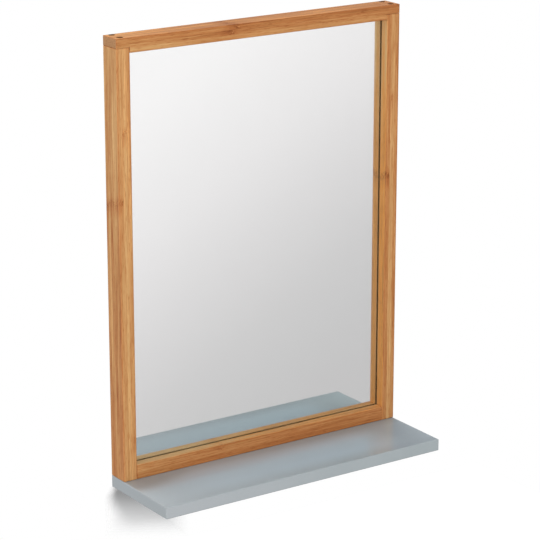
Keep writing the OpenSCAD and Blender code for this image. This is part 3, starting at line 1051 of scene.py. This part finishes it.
# %% [markdown]
# ## Hanger plates
# The keyhole plates are stamped from brushed strip and zinc plated. A stamped edge is never sharp:
# it rolls over a little on the punched side. The packed plate has the right outline with sharp
# edges, so its mesh is copied, its triangles are joined to faces, and its edges are bevelled.

# %% Bevel a copy of each plate
STAMPED_EDGE = 0.22 * MM
SAME_POINT = 0.002 * MM
SAME_FACE = math.radians(0.5)
SHARP_EDGE = math.radians(40)
plate_zinc = zinc_plate("plate_zinc", brushed_along="Z")


def stamped_copy(node):
    """A copy of a packed piece with clean faces and softly rolled edges."""
    work = bmesh.new()
    work.from_mesh(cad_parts[node].data)
    bmesh.ops.remove_doubles(work, verts=work.verts, dist=SAME_POINT)
    bmesh.ops.dissolve_limit(work, angle_limit=SAME_FACE, verts=work.verts, edges=work.edges)
    sharp = [edge for edge in work.edges if edge.calc_face_angle(0) > SHARP_EDGE]
    bevel(work, sharp, STAMPED_EDGE, steps=2)
    return from_bmesh(node + "_stamped", work, plate_zinc)


for node in ("left_hanger_plate", "right_hanger_plate"):
    take_place(stamped_copy(node), node)

# %% [markdown]
# ## The studio
# The mirror hangs on a white wall above a pale floor, in soft light from the front. The room stays
# out of the picture: rays from the camera see plain white. Mirrors and paint need something to
# reflect, so for them the room runs from bright at the upper left in front, past a dark beam, to dim
# at the lower right behind, with a far corner and a doorway that are nearly dark. Matt faces get
# plain soft light instead, brighter from the left and from above behind.

# %% The room as a world
WHITE = (1.0, 1.0, 1.0)
LIGHT_DIM = (0.43, 0.43, 0.43)
LIGHT_BRIGHT = (1.18, 1.18, 1.18)
LIGHT_BACK_TOP = (3.1, 3.1, 3.1)
BRIGHT_SIDE = Vector((-1.0, -0.20, 0.03)).normalized()
BACK_TOP = Vector((0.15, 0.62, 0.78)).normalized()
DIM_SIDE = Vector((0.407, 0.541, -0.738)).normalized()
# Where a part of the room begins to show and where it is complete: 1 is straight towards it.
BRIGHT_SIDE_EDGE = (0.22, 0.95)
BACK_TOP_EDGE = (0.74, 0.98)
FAR_CORNER_EDGE = (0.55, 0.88)
DOORWAY_EDGE = (0.932, 0.965)
ROOM_STOPS = [
    (0.20, (0.82, 0.90, 0.94)),
    (0.245, (0.80, 0.94, 1.02)),
    (0.267, (0.85, 1.06, 1.16)),
    (0.275, (0.58, 0.70, 0.75)),
    (0.284, (0.28, 0.35, 0.39)),
    (0.32, (0.84, 0.86, 0.87)),
    (0.43, (1.107, 1.056, 1.059)),
    (0.456, (1.078, 1.019, 1.024)),
    (0.478, (0.955, 0.898, 0.905)),
    (0.494, (0.823, 0.774, 0.781)),
    (0.508, (0.719, 0.680, 0.686)),
    (0.517, (0.677, 0.643, 0.649)),
    (0.528, (0.645, 0.609, 0.615)),
    (0.60, (0.56, 0.56, 0.56)),
    (1.00, (0.52, 0.52, 0.51)),
]
FAR_CORNER = Vector((0.54, 0.79, 0.29)).normalized()
LIGHT_FAR_CORNER = (0.06, 0.10, 0.20)
DOORWAY = Vector((0.76, -0.64, 0.14)).normalized()
LIGHT_DOORWAY = (0.02, 0.03, 0.04)


def build_room():
    world = bpy.data.worlds.new("room")
    world.use_nodes = True
    bpy.context.scene.world = world
    g = Graph(world.node_tree)
    g.tree.nodes.clear()
    ray = g.node("ShaderNodeLightPath")
    way = g.node("ShaderNodeTexCoord")["Generated"]

    def towards(direction):
        """1 for a ray that runs straight along a direction, 0 across it, -1 against it."""
        inputs = {0: way, 1: tuple(direction)}
        return g.node("ShaderNodeVectorMath", inputs, {"operation": "DOT_PRODUCT"})["Value"]

    around = g.ramp(towards(DIM_SIDE) * 0.5 + 0.5, ROOM_STOPS)
    around = g.mix(g.rise(towards(FAR_CORNER), *FAR_CORNER_EDGE), around, LIGHT_FAR_CORNER)
    around = g.mix(g.rise(towards(DOORWAY), *DOORWAY_EDGE), around, LIGHT_DOORWAY)
    seen = g.mix(ray["Is Camera Ray"], around, WHITE)
    level = g.mix(g.rise(towards(BRIGHT_SIDE), *BRIGHT_SIDE_EDGE), LIGHT_DIM, LIGHT_BRIGHT)
    level = g.mix(g.rise(towards(BACK_TOP), *BACK_TOP_EDGE), level, LIGHT_BACK_TOP)
    direct = ray["Is Camera Ray"] + ray["Is Glossy Ray"] + ray["Is Transmission Ray"]
    lit, seen = (g.node("ShaderNodeBackground", {"Color": colour})[0] for colour in (level, seen))
    both = g.node("ShaderNodeMixShader", {0: g.math("MINIMUM", direct, 1.0), 1: lit, 2: seen})[0]
    g.node("ShaderNodeOutputWorld", {"Surface": both})
    print("room light from", LIGHT_DIM[0], "to", LIGHT_BRIGHT[0], "towards the left")


build_room()

# %% The lamp
lamp = add_object("softbox", bpy.data.lights.new("softbox", "AREA"))
lamp.data.shape = "DISK"
lamp.data.size = 0.8
lamp.data.energy = 28.5
lamp.visible_glossy = False
lamp.visible_transmission = False
lamp.visible_camera = False
look_at_aim(lamp, turn=12, rise=26, distance=2.4)

# %% [markdown]
# ## Floor and wall
# Both are matt white with a little light of their own for the camera, so that they are plain white
# where the lamp reaches them and still darken in the object's shadow. Under the shelf the wall also
# carries a painted shadow in its colour, darkest right under the shelf. Of the wall only the stretch
# under the shelf is built, because only there does a shadow show, and from behind it is clear.

# %% Build the stage
FLOOR_DROP = 1.1
FLOOR_HALF = 2.0
FLOOR_WHITE = (0.87, 0.87, 0.87)
FLOOR_GLOW = 0.45
WALL_GLOW = 0.05
# In mm from the middle or down from the shelf: where the wall starts to fade and where it is clear
SHADE_LEFT = (188, 205)
SHADE_MIDDLE = (-140, -88)
SHADE_MIDDLE_DOWN = (0, 42)
SHADE_RIGHT = (60, 160)
SHADE_BELOW = (32, 68)
SHADE_CORNER = (0, 16)
SHADE_SPREAD = 7
SHADE_SLOPE = 0.23
SHADE_MARGIN = 30
SHADE_GRAZING = (0.6, 0.85)
# The painted shadow on the wall: where it fades, in mm down from the shelf, and its darkest tone.
CONTACT_DOWN = (4, 40)
CONTACT_TONE = (0.47, 0.47, 0.47)

floor_z = cad_box[0].z - FLOOR_DROP
wall_top = cad_box[0].z
wall_bottom = wall_top - (SHADE_BELOW[1] + SHADE_MARGIN) * MM
wall_left = -(SHADE_LEFT[1] + SHADE_SPREAD) * MM
wall_right = SHADE_RIGHT[1] * MM


def stage_sheet(name, low, high, finish):
    """A flat sheet of the studio between two opposite corners."""
    mesh = bpy.data.meshes.new(name)
    mesh.from_pydata([low, (high[0], *low[1:]), high, (low[0], *high[1:])], [], [(0, 1, 2, 3)])
    mesh.materials.append(finish)
    sheet = add_object(name, mesh)
    sheet.visible_glossy = False
    sheet.visible_transmission = False
    sheet.visible_diffuse = False
    return sheet


def paper(name, white, glow, clear):
    """Matt paper that glows for the camera. clear gives the share that is clear."""
    f = Finish(name)
    ray = f.node("ShaderNodeLightPath")
    matt = f.node("ShaderNodeBsdfDiffuse", {"Color": white(f)})[0]
    seen = f.mix(ray["Is Camera Ray"], (0.0, 0.0, 0.0), (glow, glow, glow))
    light = f.node("ShaderNodeEmission", {"Color": seen})[0]
    both = f.node("ShaderNodeAddShader", {0: matt, 1: light})[0]
    through = f.node("ShaderNodeBsdfTransparent")[0]
    mixed = f.node("ShaderNodeMixShader", {0: clear(f), 1: both, 2: through})[0]
    f.node("ShaderNodeOutputMaterial", {"Surface": mixed})
    return f.material


def under_shelf(f):
    """How far below the shelf a point is, counted less towards the right, so that the painted
    shadow and the fade of the wall reach lower there.
    """
    return wall_top / MM - f.z - (f.x - cad_box[0].x / MM) * SHADE_SLOPE


def clear_wall(f):
    """Clear from behind and along the wall, and fading out below and to both sides. Past its
    left end, the shadow keeps close under the shelf."""
    behind = f.node("ShaderNodeNewGeometry")["Backfacing"]
    facing = f.node("ShaderNodeLayerWeight")["Facing"]
    down = under_shelf(f)
    return f.most(
        behind,
        f.rise(facing, *SHADE_GRAZING),
        f.rise(0 - f.x - f.rise(down, *SHADE_CORNER) * SHADE_SPREAD, *SHADE_LEFT),
        f.rise(f.x, *SHADE_MIDDLE) * f.rise(wall_top / MM - f.z, *SHADE_MIDDLE_DOWN),
        f.rise(f.x, *SHADE_RIGHT),
        f.rise(down, *SHADE_BELOW),
    )


def painted_contact_shade(f):
    """Painted shadow: the wall's colour is darkest right under the shelf."""
    return f.mix(f.rise(under_shelf(f), *CONTACT_DOWN), CONTACT_TONE, WHITE)


stage_sheet(
    "floor", (-FLOOR_HALF, -FLOOR_HALF, floor_z), (FLOOR_HALF, FLOOR_HALF, floor_z),
    paper("floor_paper", lambda f: FLOOR_WHITE, FLOOR_GLOW, lambda f: 0.0))
wall = stage_sheet(
    "wall_under_shelf", (wall_left, 0.0, wall_bottom), (wall_right, 0.0, wall_top),
    paper("wall_paper", painted_contact_shade, WALL_GLOW, clear_wall))
wall.visible_shadow = False
print("floor at", round(floor_z, 3), "m, wall down to", round(wall_bottom, 3), "m")

# %% [markdown]
# ## The packed box
# The lowest and highest corner of the packed model are printed. Each piece built above has printed
# how far it reaches outside its packed piece.

# %% Print the packed box
def as_lists(box):
    """Two corners as plain lists of numbers."""
    return [list(corner) for corner in box]


print("packed box:", as_lists(cad_box))
